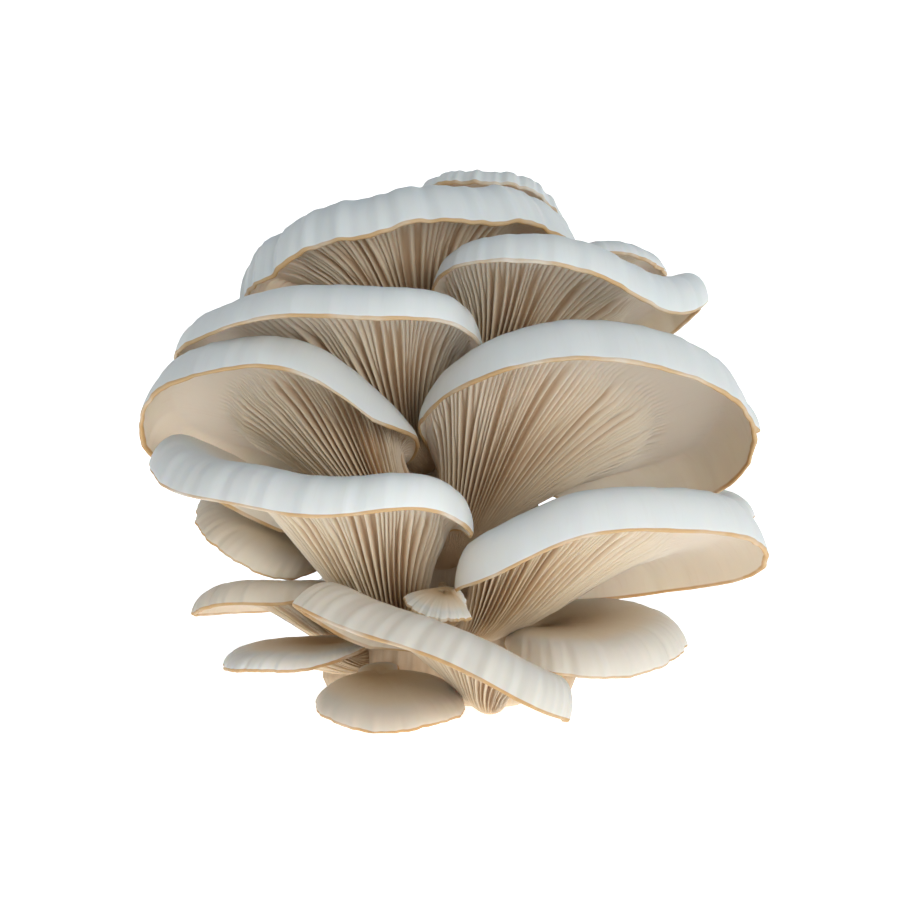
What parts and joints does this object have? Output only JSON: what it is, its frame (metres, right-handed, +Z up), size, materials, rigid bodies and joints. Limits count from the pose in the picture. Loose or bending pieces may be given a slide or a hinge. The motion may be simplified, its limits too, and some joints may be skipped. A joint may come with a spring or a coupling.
{
  "type": "oyster mushroom cluster",
  "caption": "Standing cluster of pale oyster mushrooms: overlapping fan-shaped caps with rolled margins and gills below, on stems that fuse into one base cut flat underneath.",
  "frame": {"origin": "middle of the flat cut face under the fused stems, which the cluster stands on", "axes": "+Z up out of the cut face along the base, -Y towards the front that the picture shows, +X to the right"},
  "size_m": [0.1539, 0.1671, 0.1346],
  "materials": {
    "mushroom_flesh": "soft, moist, slightly translucent flesh; white to blue-grey on top, cream to tan on the gills",
    "base_flesh": "dull fibrous cream flesh with lengthwise streaks"
  },
  "bodies": {
    "root": {"fused_stem_base": "base_flesh", "mushroom_left_broad": "mushroom_flesh", "mushroom_right_broad": "mushroom_flesh", "mushroom_left_middle": "mushroom_flesh", "mushroom_top_left": "mushroom_flesh", "mushroom_top_right": "mushroom_flesh", "mushroom_lower_left": "mushroom_flesh", "mushroom_lower_right": "mushroom_flesh", "mushroom_bottom_front": "mushroom_flesh", "mushroom_crown_back": "mushroom_flesh", "mushroom_crown_right": "mushroom_flesh", "mushroom_right_upper_back": "mushroom_flesh", "mushroom_right_lower_back": "mushroom_flesh", "mushroom_left_leaf": "mushroom_flesh", "mushroom_right_leaf": "mushroom_flesh", "mushroom_centre_small": "mushroom_flesh", "mushroom_left_low": "mushroom_flesh", "mushroom_left_lowest": "mushroom_flesh", "mushroom_bottom_leaf": "mushroom_flesh", "mushroom_back_upper": "mushroom_flesh", "mushroom_back_middle": "mushroom_flesh", "mushroom_back_left": "mushroom_flesh", "mushroom_back_low": "mushroom_flesh", "mushroom_back_right": "mushroom_flesh", "mushroom_back_small": "mushroom_flesh", "mushroom_left_back": "mushroom_flesh"}
  },
  "joints": []
}
